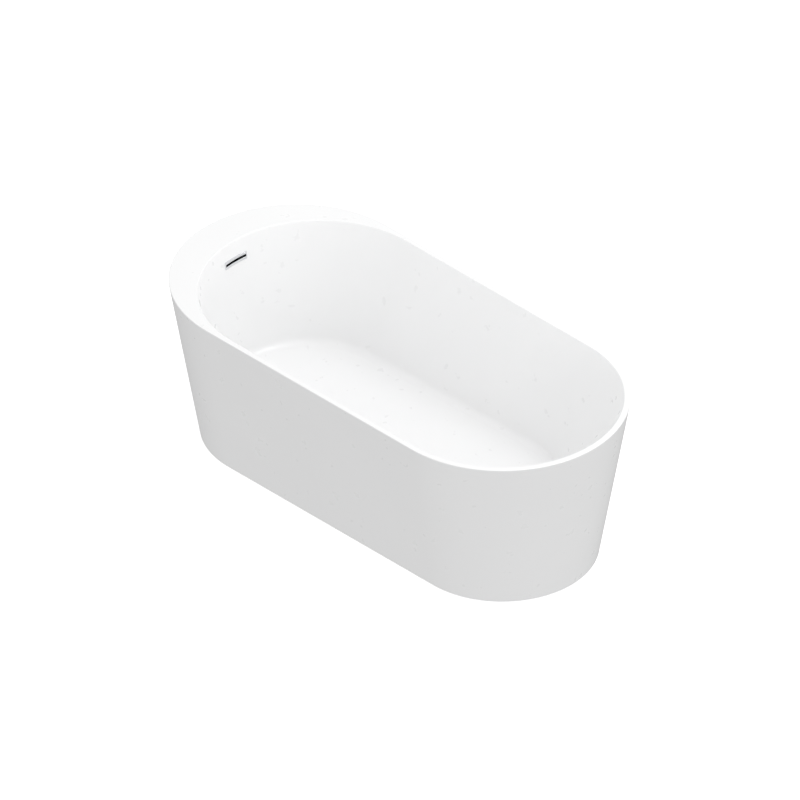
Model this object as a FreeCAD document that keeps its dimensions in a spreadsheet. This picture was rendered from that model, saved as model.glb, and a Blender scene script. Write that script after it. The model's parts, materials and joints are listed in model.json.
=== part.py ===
import FreeCAD, Part
import math
import os
import Sketcher
from FreeCAD import Placement, Rotation, Vector

# Freestanding double-walled bath, millimetres, +Z up.
# Origin: on the ground, under the middle of the rim outline.
# +X is the sloped backrest end, -X is the deck end with the overflow and waste.

doc = FreeCAD.newDocument("freestanding_bath")

# ---------------------------------------------------------------- dimensions
DIMENSIONS = [
    # outline and skirt
    ("rim_height", 570.0, "top of the rim above the ground"),
    ("rim_radius", 400.56, "end radius of the rim outline"),
    ("rim_centre", 450.0, "end centres of the rim outline, either side of the origin"),
    ("rim_depth", 6.0, "thickness of the rim and deck"),
    ("edge_round", 3.0, "round on the outer top edge of the rim"),
    ("lip_round", 3.0, "round where the rim turns down into the well"),
    ("skirt_foot", 3.0, "gap under the skirt"),
    ("skirt_inset", 97.5, "how far the skirt leans in over its whole height"),
    ("skirt_wall", 5.0, "skirt wall"),
    # well
    ("open_radius", 382.0, "end radius of the opening at the rim"),
    ("open_deck", 349.5, "end centre of the opening on the deck side"),
    ("open_back", 448.8, "end centre of the opening on the backrest side"),
    ("floor_deck", 400.0, "floor outline end centre, deck side"),
    ("floor_deck_radius", 280.0, "floor outline end radius, deck side"),
    ("floor_back", 277.0, "floor outline end centre, backrest side"),
    ("floor_back_radius", 294.0, "floor outline end radius, backrest side"),
    ("floor_level", 153.4, "floor height over the origin"),
    ("floor_tilt", 0.458, "fall of the floor towards the waste, degrees"),
    ("floor_blend", 30.0, "round between floor and walls"),
    ("shell_wall", 6.0, "wall of the well"),
    # waste
    ("waste_place", 520.0, "waste centre, from the origin towards the deck"),
    ("seat_level", 146.2, "flat seat for the waste flange"),
    ("seat_radius", 37.5, "radius of that seat"),
    ("boss_level", 140.0, "underside of the thickened floor at the waste"),
    ("boss_radius", 46.0, "radius of the thickened floor"),
    ("waste_hole", 26.0, "radius of the hole in the floor"),
    ("flange_radius", 35.0, "waste flange"),
    ("flange_thick", 2.5, "waste flange"),
    ("gasket_thick", 1.5, "gasket under the waste flange"),
    ("waste_thread", 23.8, "outside of the waste tube"),
    ("waste_bore", 21.0, "inside of the waste tube"),
    ("waste_tail", 108.0, "lower end of the waste tube"),
    ("under_gasket", 3.0, "gasket under the floor"),
    ("trap_flange", 42.0, "waste body flange radius"),
    ("trap_radius", 29.0, "waste body barrel radius"),
    ("trap_floor", 75.0, "lower end of the barrel"),
    ("socket_radius", 24.0, "waste body outlet socket, outside"),
    ("socket_end", 60.0, "lower end of the outlet socket"),
    ("pipe_radius", 20.0, "outlet pipe, outside"),
    ("pipe_wall", 2.0, "outlet pipe wall"),
    ("pipe_end", 12.0, "lower end of the outlet pipe"),
    ("pipe_shoulder", 50.0, "top of the full-size stretch of the outlet pipe"),
    # stopper
    ("cap_radius", 31.5, "stopper cap"),
    ("cap_level", 150.7, "underside of the closed cap"),
    ("cap_thick", 1.4, "thickness at the rim of the cap"),
    ("cap_crown", 0.7, "rise of the cap to its middle"),
    ("stem_radius", 4.55, "stopper stem"),
    ("guide_radius", 4.6, "bore that guides the stem"),
    ("cartridge_radius", 9.0, "push cartridge"),
    # overflow
    ("slot_level", 502.0, "middle of the overflow"),
    ("trim_width", 95.0, "overflow trim"),
    ("trim_height", 25.0, "overflow trim"),
    ("trim_stand", 3.0, "how far the trim stands off the wall"),
    ("slot_width", 88.0, "overflow slot"),
    ("slot_height", 8.6, "overflow slot"),
    ("cutout_width", 91.0, "opening in the wall behind the trim"),
    ("cutout_height", 17.0, "opening in the wall behind the trim"),
    ("box_back", 788.0, "back of the overflow box, from the origin"),
    ("box_width", 112.0, "overflow box"),
    ("box_height", 38.0, "overflow box"),
    ("hose_place", 772.0, "upright end of the overflow hose"),
    ("hose_level", 90.0, "level end of the overflow hose"),
    ("hose_radius", 12.0, "overflow hose, outside"),
    ("spigot_radius", 9.5, "spigots inside the hose"),
    ("spigot_bore", 7.5, "bore of the spigots"),
    ("hose_bend", 82.0, "bend of the hose under the deck, on its middle line"),
    ("hose_kick", 160.0, "small bend below the overflow box"),
    # cradle
    ("board_top", 141.0, "top of the base board"),
    ("board_thick", 15.0, "base board"),
    ("board_half", 180.0, "half the width of the base board"),
    ("board_from", 400.0, "end of the base board, deck side"),
    ("board_to", 430.0, "end of the base board, backrest side"),
    ("tube_size", 25.0, "square tube of the cradle"),
    ("tube_wall", 2.0, "its wall"),
    ("rail_place", 140.0, "rails, from the middle line"),
    ("bar_deck", 330.0, "cross bar, deck side"),
    ("bar_back", 400.0, "cross bar, backrest side"),
    ("bar_half", 235.0, "half the length of a cross bar"),
    ("foot_place", 205.0, "feet, from the middle line"),
    ("stud_radius", 6.0, "M12 levelling stud"),
    ("stud_fit", 6.05, "thread bore around the stud"),
    ("stud_top", 125.0, "upper end of the stud"),
    ("nut_flats", 10.97, "M12 nut, centre to corner"),
    ("pad_radius", 26.0, "foot pad"),
    ("bolt_radius", 3.0, "M6 bolts of the cradle"),
    ("screw_radius", 2.0, "board screws"),
]

sheet = doc.addObject("Spreadsheet::Sheet", "dims")
sheet.set("A1", "dimension")
sheet.set("B1", "value")
sheet.set("C1", "meaning")
for row, (alias, value, meaning) in enumerate(DIMENSIONS, start=2):
    sheet.set("A%d" % row, alias)
    sheet.set("B%d" % row, repr(value))
    sheet.set("C%d" % row, meaning)
    sheet.setAlias("B%d" % row, alias)
doc.recompute()


class Size:
    """A size with the expression that ties it to the sheet."""

    def __init__(self, value, text):
        self.value = float(value)
        self.text = text

    def __add__(self, other):
        other = size(other)
        return Size(self.value + other.value, "(%s + %s)" % (self.text, other.text))

    def __radd__(self, other):
        return size(other) + self

    def __sub__(self, other):
        other = size(other)
        return Size(self.value - other.value, "(%s - %s)" % (self.text, other.text))

    def __rsub__(self, other):
        return size(other) - self

    def __mul__(self, other):
        other = size(other)
        return Size(self.value * other.value, "(%s * %s)" % (self.text, other.text))

    def __rmul__(self, other):
        return size(other) * self

    def __truediv__(self, other):
        other = size(other)
        return Size(self.value / other.value, "(%s / %s)" % (self.text, other.text))

    def __neg__(self):
        return Size(-self.value, "(0 - %s)" % self.text)


def size(item):
    if isinstance(item, Size):
        return item
    number = float(item)
    if number < 0:
        return Size(number, "(0 - %s)" % repr(-number))
    return Size(number, repr(number))


D = {alias: Size(sheet.get(alias), "dims." + alias) for alias, _v, _m in DIMENSIONS}

PARTS = []          # finished sub-parts, in order


def bind(obj, path, item):
    obj.setExpression(path, size(item).text)


def place(obj, x=0, y=0, z=0, rotation=None):
    spot = [size(x), size(y), size(z)]
    obj.Placement = Placement(Vector(*[s.value for s in spot]), rotation or Rotation())
    for axis, item in zip("xyz", spot):
        bind(obj, "Placement.Base." + axis, item)


def finish(obj, label):
    obj.Label = label
    PARTS.append(obj)
    return obj


# ------------------------------------------------------------ sketch helpers
def new_body(label):
    body = doc.addObject("PartDesign::Body", label)
    finish(body, label)
    return body


def origin_plane(body, role):
    for feature in body.Origin.OriginFeatures:
        if feature.Role == role:
            return feature


def new_sketch(body, name, role="XY_Plane", level=0, tilt=None):
    """A sketch on one of the body's origin planes, raised by level."""
    sketch = body.newObject("Sketcher::SketchObject", name)
    sketch.AttachmentSupport = [(origin_plane(body, role), "")]
    sketch.MapMode = "FlatFace"
    level = size(level)
    turn = Rotation()
    if tilt is not None:
        turn = Rotation(Vector(0, -1, 0), tilt.value)
    sketch.AttachmentOffset = Placement(Vector(0, 0, level.value), turn)
    bind(sketch, "AttachmentOffset.Base.z", level)
    if tilt is not None:
        sketch.setExpression("AttachmentOffset.Rotation.Angle", tilt.text)
    return sketch


def dimension(sketch, kind, refs, item, name):
    item = size(item)
    if kind in ("DistanceX", "DistanceY") and item.value < 0:
        refs = refs[2:] + refs[:2]
        item = -item
    index = sketch.addConstraint(Sketcher.Constraint(kind, *(list(refs) + [item.value])))
    sketch.renameConstraint(index, name)
    sketch.setExpression("Constraints." + name, item.text)


def draw_stadium(sketch, left, left_radius, right, right_radius):
    """Two quarter arcs at each end and two tangent sides; the centres lie on the long axis."""
    left, right = size(left), size(right)
    left_radius, right_radius = size(left_radius), size(right_radius)
    lean = math.asin((right_radius.value - left_radius.value) / (right.value - left.value))
    up = Vector(-math.sin(lean), math.cos(lean), 0)
    down = Vector(-math.sin(lean), -math.cos(lean), 0)
    a, b = Vector(left.value, 0, 0), Vector(right.value, 0, 0)
    left_end = Part.Circle(a, Vector(0, 0, 1), left_radius.value)
    right_end = Part.Circle(b, Vector(0, 0, 1), right_radius.value)
    side = math.pi / 2 + lean
    sketch.addGeometry([
        Part.ArcOfCircle(left_end, side, math.pi),
        Part.ArcOfCircle(left_end, math.pi, 2 * math.pi - side),
        Part.ArcOfCircle(right_end, -side, 0),
        Part.ArcOfCircle(right_end, 0, side),
        Part.LineSegment(a + up * left_radius.value, b + up * right_radius.value),
        Part.LineSegment(a + down * left_radius.value, b + down * right_radius.value),
    ], False)
    sketch.addConstraint([
        Sketcher.Constraint("Coincident", 0, 3, 1, 3),
        Sketcher.Constraint("Coincident", 2, 3, 3, 3),
        Sketcher.Constraint("Coincident", 0, 2, 1, 1),
        Sketcher.Constraint("Coincident", 2, 2, 3, 1),
        Sketcher.Constraint("PointOnObject", 0, 2, -1),
        Sketcher.Constraint("PointOnObject", 2, 2, -1),
        Sketcher.Constraint("Tangent", 0, 1, 4, 1),
        Sketcher.Constraint("Tangent", 4, 2, 3, 2),
        Sketcher.Constraint("Tangent", 1, 2, 5, 1),
        Sketcher.Constraint("Tangent", 5, 2, 2, 1),
        Sketcher.Constraint("PointOnObject", 0, 3, -1),
        Sketcher.Constraint("PointOnObject", 2, 3, -1),
    ])
    dimension(sketch, "DistanceX", [-1, 1, 0, 3], left, "left_centre")
    dimension(sketch, "DistanceX", [-1, 1, 2, 3], right, "right_centre")
    dimension(sketch, "Radius", [0], left_radius, "left_radius")
    dimension(sketch, "Radius", [2], right_radius, "right_radius")
    return sketch


def draw_polygon(sketch, points):
    """A closed outline whose corners are all dimensioned from the origin."""
    first = sketch.GeometryCount
    points = [(size(x), size(y)) for x, y in points]
    count = len(points)
    for i, (x, y) in enumerate(points):
        nx, ny = points[(i + 1) % count]
        sketch.addGeometry(Part.LineSegment(Vector(x.value, y.value, 0), Vector(nx.value, ny.value, 0)), False)
    for i in range(count):
        sketch.addConstraint(Sketcher.Constraint("Coincident", first + i, 2, first + (i + 1) % count, 1))
    for i, (x, y) in enumerate(points):
        dimension(sketch, "DistanceX", [-1, 1, first + i, 1], x, "x%d" % (first + i))
        dimension(sketch, "DistanceY", [-1, 1, first + i, 1], y, "y%d" % (first + i))
    return sketch


def draw_circle(sketch, x, y, radius):
    index = sketch.addGeometry(Part.Circle(Vector(size(x).value, size(y).value, 0), Vector(0, 0, 1), size(radius).value), False)
    dimension(sketch, "DistanceX", [-1, 1, index, 3], x, "cx%d" % index)
    dimension(sketch, "DistanceY", [-1, 1, index, 3], y, "cy%d" % index)
    dimension(sketch, "Radius", [index], radius, "cr%d" % index)
    return sketch


def rectangle(x0, x1, y0, y1):
    return [(x0, y0), (x1, y0), (x1, y1), (x0, y1)]


def loft(body, kind, name, profile, section):
    feature = body.newObject("PartDesign::" + kind, name)
    feature.Profile = profile
    feature.Sections = [section]
    feature.Ruled = True
    return feature


def pad(body, name, sketch, length):
    feature = body.newObject("PartDesign::Pad", name)
    feature.Profile = sketch
    bind(feature, "Length", length)
    feature.Length = size(length).value
    return feature


def pocket(body, name, sketch, length, up=True):
    """A pocket that always cuts towards the sketch normal when up is set."""
    feature = body.newObject("PartDesign::Pocket", name)
    feature.Profile = sketch
    feature.Length = size(length).value
    bind(feature, "Length", length)
    feature.Reversed = bool(up)
    return feature


def revolve(body, name, points, role="XZ_Plane"):
    sketch = new_sketch(body, name + "_profile", role)
    draw_polygon(sketch, points)
    feature = body.newObject("PartDesign::Revolution", name)
    feature.Profile = sketch
    feature.ReferenceAxis = (sketch, ["V_Axis"])
    feature.Angle = 360
    return feature


def round_edges(body, name, base, radius, wanted):
    """A fillet on every edge of the base feature for which wanted(edge) holds."""
    doc.recompute()
    names = ["Edge%d" % (i + 1) for i, edge in enumerate(base.Shape.Edges) if wanted(edge)]
    if not names:
        raise RuntimeError("no edges found for " + name)
    feature = body.newObject("PartDesign::Fillet", name)
    feature.Base = (base, names)
    feature.Radius = size(radius).value
    bind(feature, "Radius", radius)
    doc.recompute()
    return feature


# ------------------------------------------------------------ part helpers
def box(name, x0, x1, y0, y1, z0, z1):
    item = doc.addObject("Part::Box", name)
    for prop, low, high in (("Length", x0, x1), ("Width", y0, y1), ("Height", z0, z1)):
        length = size(high) - size(low)
        setattr(item, prop, length.value)
        bind(item, prop, length)
    place(item, x0, y0, z0)
    return item


def cylinder(name, radius, x, y, z, height, axis="z"):
    item = doc.addObject("Part::Cylinder", name)
    item.Radius = size(radius).value
    item.Height = size(height).value
    bind(item, "Radius", radius)
    bind(item, "Height", height)
    turn = {"z": Rotation(), "x": Rotation(Vector(0, 1, 0), 90), "y": Rotation(Vector(1, 0, 0), -90)}[axis]
    place(item, x, y, z, turn)
    return item


def hexagon(name, corner, x, y, z, height, sides=6):
    item = doc.addObject("Part::Prism", name)
    item.Polygon = sides
    item.Circumradius = size(corner).value
    item.Height = size(height).value
    bind(item, "Circumradius", corner)
    bind(item, "Height", height)
    place(item, x, y, z)
    return item


def cut(name, base, tool):
    item = doc.addObject("Part::Cut", name)
    item.Base = base
    item.Tool = tool
    return item


def common(name, base, tool):
    item = doc.addObject("Part::Common", name)
    item.Base = base
    item.Tool = tool
    return item


def fuse(name, items):
    item = doc.addObject("Part::MultiFuse", name)
    item.Shapes = items
    return item


# ================================================================= the shells
seam = D["rim_height"] - D["rim_depth"]                       # underside of the rim
lean = D["skirt_inset"] / (D["rim_height"] - D["skirt_foot"])  # lean of the skirt


def skirt_radius(level):
    """End radius of the outer surface at a height."""
    return D["rim_radius"] - (D["rim_height"] - level) * lean


# Well: one moulding with the rim and the deck.
basin = new_body("basin")
back_floor = D["floor_level"] - D["shell_wall"]
upper = draw_stadium(new_sketch(basin, "well_back_top", level=seam),
                     -D["open_deck"], D["open_radius"] + D["shell_wall"],
                     D["open_back"], D["open_radius"] + D["shell_wall"])
lower = draw_stadium(new_sketch(basin, "well_back_floor", level=back_floor, tilt=D["floor_tilt"]),
                     -D["floor_deck"], D["floor_deck_radius"] + D["shell_wall"],
                     D["floor_back"], D["floor_back_radius"] + D["shell_wall"])
well_back = loft(basin, "AdditiveLoft", "well_back", lower, upper)
rim_low = draw_stadium(new_sketch(basin, "rim_underside", level=seam),
                       -D["rim_centre"], skirt_radius(seam), D["rim_centre"], skirt_radius(seam))
rim_top = draw_stadium(new_sketch(basin, "rim_top", level=D["rim_height"]),
                       -D["rim_centre"], D["rim_radius"], D["rim_centre"], D["rim_radius"])
rim = loft(basin, "AdditiveLoft", "rim", rim_low, rim_top)
rim_line = D["rim_height"].value - 0.01
rim_edge = round_edges(basin, "rim_round", rim, D["edge_round"],
                       lambda e: min(v.Z for v in e.Vertexes) > rim_line)
mouth = draw_stadium(new_sketch(basin, "well_top", level=D["rim_height"]),
                     -D["open_deck"], D["open_radius"], D["open_back"], D["open_radius"])
floor = draw_stadium(new_sketch(basin, "well_floor", level=D["floor_level"], tilt=D["floor_tilt"]),
                     -D["floor_deck"], D["floor_deck_radius"], D["floor_back"], D["floor_back_radius"])
well = loft(basin, "SubtractiveLoft", "well", floor, mouth)


def on_floor(edge, level):
    """Whether an edge of the sharp line between walls and sloping floor lies at this level."""
    for v in edge.Vertexes:
        plane = level.value + v.X * math.tan(math.radians(D["floor_tilt"].value))
        if abs(v.Z - plane) > 0.3:
            return False
    return True


well_round = round_edges(basin, "well_round", well, D["floor_blend"], lambda e: on_floor(e, D["floor_level"]))
underside = round_edges(basin, "underside_round", well_round, D["floor_blend"] + D["shell_wall"],
                        lambda e: on_floor(e, back_floor))


def is_mouth_line(edge):
    box_ = edge.BoundBox
    if box_.ZMin < rim_line:
        return False
    far = max(abs(v.Y) for v in edge.Vertexes)
    return far < D["open_radius"].value + 1


lip = round_edges(basin, "lip_round", underside, D["lip_round"], is_mouth_line)
boss = pad(basin, "waste_boss", draw_circle(new_sketch(basin, "waste_boss_outline", level=D["boss_level"]),
                                            -D["waste_place"], 0, D["boss_radius"]), 6.0)
seat = pocket(basin, "waste_seat", draw_circle(new_sketch(basin, "waste_seat_outline", level=D["seat_level"]),
                                               -D["waste_place"], 0, D["seat_radius"]), 12.0)
bore = pocket(basin, "waste_opening", draw_circle(new_sketch(basin, "waste_opening_outline", level=D["boss_level"] - 5),
                                                  -D["waste_place"], 0, D["waste_hole"]), 25.0)
slot_sketch = new_sketch(basin, "overflow_outline", "YZ_Plane", level=-D["open_deck"] - D["open_radius"] - 30)
draw_polygon(slot_sketch, rectangle(-D["cutout_width"] / 2, D["cutout_width"] / 2,
                                    D["slot_level"] - D["cutout_height"] / 2,
                                    D["slot_level"] + D["cutout_height"] / 2))
overflow_opening = pocket(basin, "overflow_opening", slot_sketch, 70.0)

# Skirt: the outer shell, open above and below, bonded under the rim.
skirt = new_body("skirt")
skirt_low = draw_stadium(new_sketch(skirt, "skirt_foot_outline", level=D["skirt_foot"]),
                         -D["rim_centre"], skirt_radius(D["skirt_foot"]),
                         D["rim_centre"], skirt_radius(D["skirt_foot"]))
skirt_high = draw_stadium(new_sketch(skirt, "skirt_top_outline", level=seam),
                          -D["rim_centre"], skirt_radius(seam), D["rim_centre"], skirt_radius(seam))
loft(skirt, "AdditiveLoft", "skirt_outside", skirt_low, skirt_high)
inner_low = draw_stadium(new_sketch(skirt, "skirt_foot_inside", level=D["skirt_foot"]),
                         -D["rim_centre"], skirt_radius(D["skirt_foot"]) - D["skirt_wall"],
                         D["rim_centre"], skirt_radius(D["skirt_foot"]) - D["skirt_wall"])
inner_high = draw_stadium(new_sketch(skirt, "skirt_top_inside", level=seam),
                          -D["rim_centre"], skirt_radius(seam) - D["skirt_wall"],
                          D["rim_centre"], skirt_radius(seam) - D["skirt_wall"])
loft(skirt, "SubtractiveLoft", "skirt_inside", inner_low, inner_high)

# ================================================================= the cradle
# Resin bedding: a wedge that takes up the fall of the floor over the level board.
slope_drop = "tan(dims.floor_tilt * 1 deg)"
slope = Size(math.tan(math.radians(D["floor_tilt"].value)), slope_drop)
bedding = new_body("resin_bedding")
bed_sketch = new_sketch(bedding, "bedding_side", "XZ_Plane", level=-D["board_half"] + 10)
half_bed = D["board_half"] - 10
draw_polygon(bed_sketch, [
    (-D["board_from"] + 10, D["board_top"]),
    (D["board_to"] - 10, D["board_top"]),
    (D["board_to"] - 10, back_floor + (D["board_to"] - 10) * slope),
    (-D["board_from"] + 10, back_floor - (D["board_from"] - 10) * slope),
])
pad(bedding, "bedding", bed_sketch, half_bed * 2)

# Base board, screwed to the rails from below.
board = new_body("base_board")
board_sketch = new_sketch(board, "board_outline", level=D["board_top"] - D["board_thick"])
draw_polygon(board_sketch, [
    (-D["board_from"] + 60, -D["board_half"]), (D["board_to"] - 60, -D["board_half"]),
    (D["board_to"], -D["board_half"] + 60), (D["board_to"], D["board_half"] - 60),
    (D["board_to"] - 60, D["board_half"]), (-D["board_from"] + 60, D["board_half"]),
    (-D["board_from"], D["board_half"] - 60), (-D["board_from"], -D["board_half"] + 60)])
pad(board, "board", board_sketch, D["board_thick"])
SCREW_X = (-370.0, -150.0, 100.0, 350.0)
pilot = new_sketch(board, "screw_pilots", level=D["board_top"] - D["board_thick"])
for side in (-1, 1):
    for x in SCREW_X:
        draw_circle(pilot, x, D["rail_place"] * side, D["screw_radius"])
pocket(board, "pilots", pilot, 12.0)

rail_low = D["board_top"] - D["board_thick"] - D["tube_size"]
bar_low = rail_low - D["tube_size"]
half_tube = D["tube_size"] / 2


def square_tube(label, along, x0, x1, y, z0, holes):
    """Square tube along X or Y, with holes through its level walls."""
    body = new_body(label)
    if along == "x":
        sketch = new_sketch(body, label + "_section", "YZ_Plane", level=x0)
        middle = y
    else:
        sketch = new_sketch(body, label + "_section", "XZ_Plane", level=x0)
        middle = y
    draw_polygon(sketch, rectangle(middle - half_tube, middle + half_tube, z0, z0 + D["tube_size"]))
    draw_polygon(sketch, rectangle(middle - half_tube + D["tube_wall"], middle + half_tube - D["tube_wall"],
                                   z0 + D["tube_wall"], z0 + D["tube_size"] - D["tube_wall"]))
    pad(body, label + "_tube", sketch, size(x1) - size(x0))
    for number, (level, depth, spots) in enumerate(holes):
        hole = new_sketch(body, "%s_holes_%d" % (label, number), level=level)
        for x, yy, r in spots:
            draw_circle(hole, x, yy, r)
        pocket(body, "%s_drilled_%d" % (label, number), hole, depth)
    return body


# Two rails under the board. Their lower wall has access holes for the board screws.
for label, side in (("rail_left", -1), ("rail_right", 1)):
    y = D["rail_place"] * side
    square_tube(label, "x", -D["board_from"] - 20, D["board_to"] + 10, y, rail_low, [
        (rail_low - 1, D["tube_wall"] + 2,
         [(x, y, 6.0) for x in SCREW_X] + [(-D["bar_deck"], y, D["bolt_radius"]), (D["bar_back"], y, D["bolt_radius"])]),
        (rail_low + D["tube_size"] - D["tube_wall"] - 1, D["tube_wall"] + 2,
         [(x, y, D["screw_radius"]) for x in SCREW_X]),
    ])

# Two cross bars under the rails, with the feet at their ends.
for label, x in (("cross_bar_deck", -D["bar_deck"]), ("cross_bar_back", D["bar_back"])):
    square_tube(label, "y", -D["bar_half"], D["bar_half"], x, bar_low, [
        (bar_low - 1, D["tube_size"] + 2,
         [(x, D["rail_place"] * side, D["bolt_radius"]) for side in (-1, 1)]
         + [(x, D["foot_place"] * side, D["stud_radius"] + 1) for side in (-1, 1)]),
    ])

# Board screws: pan heads inside the rails.
screws = []
for side in (-1, 1):
    for x in SCREW_X:
        y = D["rail_place"] * side
        head_top = rail_low + D["tube_size"] - D["tube_wall"]
        screws.append(cylinder("screw_head", 4.5, x, y, head_top - 3, 3.0))
        screws.append(cylinder("screw_shank", D["screw_radius"], x, y, head_top, 13.5))
finish(fuse("board_screws", screws), "board_screws")

# Cradle bolts and nuts where rails and bars cross.
bolts, nuts = [], []
for x in (-D["bar_deck"], D["bar_back"]):
    for side in (-1, 1):
        y = D["rail_place"] * side
        bolts.append(hexagon("bolt_head", 5.77, x, y, bar_low - 4, 4.0))
        bolts.append(cylinder("bolt_shank", D["bolt_radius"], x, y, bar_low, D["tube_size"] + 10))
        nuts.append(cut("bolt_nut", hexagon("bolt_nut_hex", 5.77, x, y, rail_low + D["tube_wall"], 5.0),
                        cylinder("bolt_nut_bore", D["bolt_radius"], x, y, rail_low + D["tube_wall"] - 1, 7.0)))
finish(fuse("cradle_bolts", bolts), "cradle_bolts")
finish(fuse("cradle_nuts", nuts), "cradle_nuts")

# ============================================================ levelling feet
FEET = (("deck_left", -D["bar_deck"], -1), ("deck_right", -D["bar_deck"], 1),
        ("back_left", D["bar_back"], -1), ("back_right", D["bar_back"], 1))
top_nuts, lock_nuts = [], []
for place_name, x, side in FEET:
    y = D["foot_place"] * side
    # pad with a raised hub and a blind socket for the stud
    foot = new_body("foot_pad_" + place_name)
    revolve(foot, "pad_shape", [
        (0, 0), (D["pad_radius"] - 1, 0), (D["pad_radius"], 1), (D["pad_radius"], 5), (D["pad_radius"] - 2, 7),
        (12, 9), (11, 20), (D["stud_fit"], 20), (D["stud_fit"], 4), (0, 4)])
    place(foot, x, y, 0)
    # threaded stud with a hexagon for the spanner
    stud = fuse("foot_stud_" + place_name, [
        cylinder("stud_rod", D["stud_radius"], x, y, 4.3, D["stud_top"] - 4.3),
        hexagon("stud_hexagon", 9.2, x, y, 21.0, 8.0)])
    finish(stud, "foot_stud_" + place_name)
    top = rail_low
    top_nuts.append(cut("fixed_nut", hexagon("fixed_nut_hex", D["nut_flats"], x, y, top, 10.0),
                        cylinder("fixed_nut_bore", D["stud_fit"], x, y, top - 1, 12.0)))
    lock_nuts.append(cut("lock_nut", hexagon("lock_nut_hex", D["nut_flats"], x, y, bar_low - 6, 6.0),
                         cylinder("lock_nut_bore", D["stud_fit"], x, y, bar_low - 7, 8.0)))
finish(fuse("foot_weld_nuts", top_nuts), "foot_weld_nuts")
finish(fuse("foot_lock_nuts", lock_nuts), "foot_lock_nuts")

# ==================================================================== waste
wx = -D["waste_place"]
flange_low = D["seat_level"] + D["gasket_thick"]
flange_top = flange_low + D["flange_thick"]

upper_gasket = new_body("waste_flange_gasket")
revolve(upper_gasket, "gasket_ring", rectangle(D["waste_hole"] - 0.7, D["flange_radius"] - 1,
                                               D["seat_level"], flange_low))
place(upper_gasket, wx, 0, 0)

flange = new_body("waste_flange")
tube = revolve(flange, "flange_shape", [
    (D["waste_bore"], D["waste_tail"]), (D["waste_thread"], D["waste_tail"]),
    (D["waste_thread"], flange_low - 5.7), (D["waste_thread"] + 1.2, flange_low - 4.5),
    (D["waste_thread"] + 1.2, flange_low), (D["flange_radius"], flange_low),
    (D["flange_radius"], flange_top - 0.8), (D["flange_radius"] - 0.8, flange_top),
    (D["flange_radius"] - 2.6, flange_top), (26.5, flange_top - 1.0), (D["waste_bore"] + 1.8, flange_top - 2.9),
    (D["waste_bore"], flange_top - 6.2)])
hub_level = D["waste_tail"] + 8
for name, spread in (("spider_long", (22.0, 1.5)), ("spider_cross", (1.5, 22.0))):
    arms = new_sketch(flange, name + "_outline", level=hub_level)
    draw_polygon(arms, rectangle(-spread[0], spread[0], -spread[1], spread[1]))
    pad(flange, name, arms, 6.0)
pad(flange, "spider_hub", draw_circle(new_sketch(flange, "hub_outline", level=hub_level), 0, 0, 8.0), 6.0)
pocket(flange, "hub_thread", draw_circle(new_sketch(flange, "hub_thread_outline", level=hub_level - 1), 0, 0, 3.0), 8.0)
place(flange, wx, 0, 0)

lower_gasket = new_body("waste_floor_gasket")
revolve(lower_gasket, "floor_gasket_ring", rectangle(D["waste_thread"] + 1.2, D["trap_flange"] - 2,
                                                     D["boss_level"] - D["under_gasket"], D["boss_level"]))
place(lower_gasket, wx, 0, 0)

trap_top = D["boss_level"] - D["under_gasket"]
trap = new_body("waste_body")
revolve(trap, "waste_barrel", [
    (D["pipe_radius"] + 0.1, D["socket_end"]), (D["socket_radius"], D["socket_end"]),
    (D["socket_radius"], D["trap_floor"] - 1), (D["trap_radius"], D["trap_floor"] + 3),
    (D["trap_radius"], trap_top - 6), (D["trap_flange"], trap_top - 5), (D["trap_flange"], trap_top),
    (D["waste_thread"], trap_top), (D["waste_thread"], D["waste_tail"] - 2), (D["waste_thread"] - 1.8, D["waste_tail"] - 3),
    (D["waste_thread"] - 1.8, D["trap_floor"] + 4), (D["pipe_radius"] + 0.1, D["trap_floor"] - 1)])
branch = new_sketch(trap, "branch_outline", "YZ_Plane", level=-D["trap_radius"] - 35)
draw_circle(branch, 0, D["hose_level"], D["spigot_radius"])
pad(trap, "branch", branch, 39.0)
branch_bore = new_sketch(trap, "branch_bore_outline", "YZ_Plane", level=-D["trap_radius"] - 36)
draw_circle(branch_bore, 0, D["hose_level"], D["spigot_bore"])
pocket(trap, "branch_bore", branch_bore, 50.0)
place(trap, wx, 0, 0)

seal = new_body("outlet_seal")
revolve(seal, "seal_ring", rectangle(D["pipe_radius"] - 0.8, D["socket_radius"], D["socket_end"] - 4, D["socket_end"]))
place(seal, wx, 0, 0)

slip_nut = cut("outlet_nut", cut("outlet_nut_shell",
                                 hexagon("outlet_nut_prism", 31.5, wx, 0, D["socket_end"] - 8, 18.0, sides=8),
                                 cylinder("outlet_nut_thread", D["socket_radius"], wx, 0, D["socket_end"] - 4, 16.0)),
               cylinder("outlet_nut_mouth", D["pipe_radius"] - 0.5, wx, 0, D["socket_end"] - 10, 12.0))
finish(slip_nut, "outlet_nut")

pipe = new_body("outlet_pipe")
revolve(pipe, "pipe_shape", [
    (D["pipe_radius"] - D["pipe_wall"], D["pipe_end"]), (D["pipe_radius"], D["pipe_end"]),
    (D["pipe_radius"], D["pipe_shoulder"]), (D["pipe_radius"] - 0.8, D["pipe_shoulder"] + 0.8),
    (D["pipe_radius"] - 0.8, D["trap_floor"] - 3), (D["pipe_radius"] - D["pipe_wall"], D["trap_floor"] - 3)])
place(pipe, wx, 0, 0)

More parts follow.
